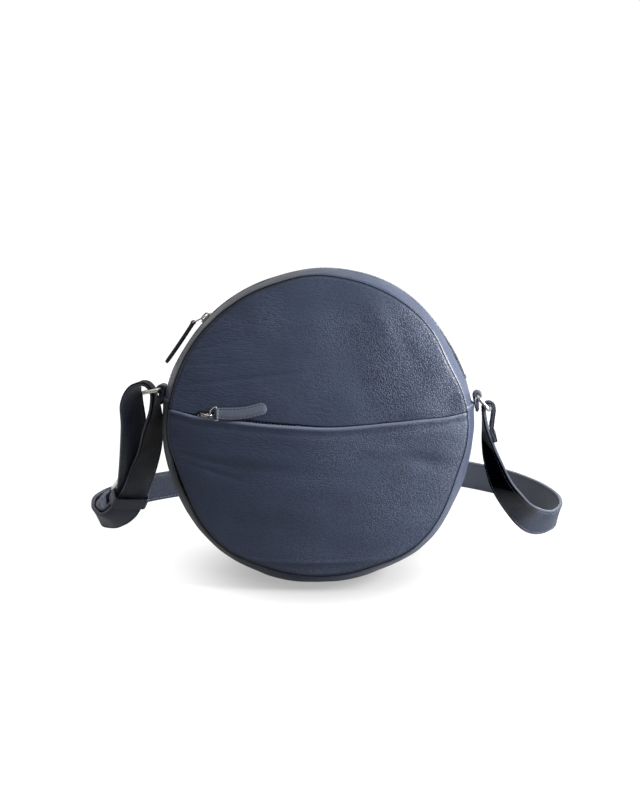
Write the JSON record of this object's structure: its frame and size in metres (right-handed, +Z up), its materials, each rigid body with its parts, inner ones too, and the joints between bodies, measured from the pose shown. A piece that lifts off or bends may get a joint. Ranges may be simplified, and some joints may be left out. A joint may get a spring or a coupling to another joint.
{
  "type": "round shoulder bag",
  "caption": "Round leather shoulder bag with a zipped rim, a domed front pocket with its own zip, metal rings and a long shoulder strap with a buckle and a keeper",
  "frame": {"origin": "on the pressed flat of the rim that the bag stands on, straight under the middle of the round; the bag leans back 10 degrees", "axes": "+Z up, +X to the right across the round face as the front is seen, the front pocket faces -Y"},
  "size_m": [0.403, 0.3231, 0.2459],
  "materials": {
    "navy_leather": "fine pebbled grain, semi-matt, glued and painted edges",
    "dark_leather": "smooth, semi-matt",
    "lining": "plain woven cotton",
    "zip_tape": "dense woven tape",
    "silver_metal": "polished plating",
    "zip_teeth": "polished metal teeth"
  },
  "bodies": {
    "bag": {"front_upper_panel": "navy_leather", "pocket_front_panel": "navy_leather", "pocket_lining": "lining", "back_panel": "navy_leather", "lower_gusset": "navy_leather", "front_zip_strip": "navy_leather", "back_zip_strip": "navy_leather", "rim_tape_front": "zip_tape", "rim_tape_back": "zip_tape", "rim_teeth_front": "zip_teeth", "rim_teeth_back": "zip_teeth", "rim_zip_stops": "silver_metal", "pocket_tape_upper": "zip_tape", "pocket_tape_lower": "zip_tape", "pocket_teeth_upper": "zip_teeth", "pocket_teeth_lower": "zip_teeth", "pocket_zip_stops": "silver_metal", "front_lining": "lining", "back_lining": "lining", "gusset_lining": "lining", "left_ring_tab": "navy_leather", "right_ring_tab": "navy_leather", "shoulder_strap": "navy_leather", "strap_keeper": "navy_leather", "buckle_frame": "silver_metal"},
    "buckle_tongue": {"buckle_tongue": "silver_metal"},
    "left_ring": {"left_ring": "silver_metal"},
    "right_ring": {"right_ring": "silver_metal"},
    "rim_slider": {"rim_slider": "silver_metal"},
    "rim_pull_link": {"rim_pull_link": "silver_metal"},
    "rim_pull_tab": {"rim_pull_tab": "dark_leather"},
    "pocket_slider": {"pocket_slider": "silver_metal"},
    "pocket_pull_link": {"pocket_pull_link": "silver_metal"},
    "pocket_pull_tab": {"pocket_pull_tab": "dark_leather"}
  },
  "joints": [
    {"name": "rim_slider_travel", "type": "hinge", "parent": "bag", "child": "rim_slider", "pos_m": [0, 0, 0.12099], "axis": [0, -0.9848, 0.1736], "range_deg": [-114, 6]},
    {"name": "rim_link_swing", "type": "hinge", "parent": "rim_slider", "child": "rim_pull_link", "pos_m": [-0.09172, 0.01485, 0.20523], "axis": [0, -0.9848, 0.1736], "range_deg": [-130, 3]},
    {"name": "rim_tab_swing", "type": "hinge", "parent": "rim_pull_link", "child": "rim_pull_tab", "pos_m": [-0.10091, 0.01397, 0.20021], "axis": [0, -0.9848, 0.1736], "range_deg": [-35, 2]},
    {"name": "pocket_slider_travel", "type": "hinge", "parent": "bag", "child": "pocket_slider", "pos_m": [0, 0.12244, 0.59479], "axis": [0, -0.947, 0.3214], "range_deg": [-2.2, 22.1]},
    {"name": "pocket_link_swing", "type": "hinge", "parent": "pocket_slider", "child": "pocket_pull_link", "pos_m": [-0.085, -0.03646, 0.13699], "axis": [-0.1401, 0.3182, 0.9376], "range_deg": [-75, 0]},
    {"name": "pocket_tab_swing", "type": "hinge", "parent": "pocket_pull_link", "child": "pocket_pull_tab", "pos_m": [-0.07681, -0.04221, 0.14016], "axis": [-0.1401, 0.3182, 0.9376], "range_deg": [-35, 0]},
    {"name": "left_ring_swing", "type": "hinge", "parent": "bag", "child": "left_ring", "pos_m": [-0.12563, 0.00476, 0.14797], "axis": [0, -0.9848, 0.1736], "range_deg": [-12, 18]},
    {"name": "right_ring_swing", "type": "hinge", "parent": "bag", "child": "right_ring", "pos_m": [0.126, 0.00445, 0.14624], "axis": [0, -0.9848, 0.1736], "range_deg": [-2, 2]},
    {"name": "buckle_tongue_swing", "type": "hinge", "parent": "bag", "child": "buckle_tongue", "pos_m": [-0.18463, 0.11515, 0.0164], "axis": [0, 0, 1], "range_deg": [0, 5]}
  ]
}
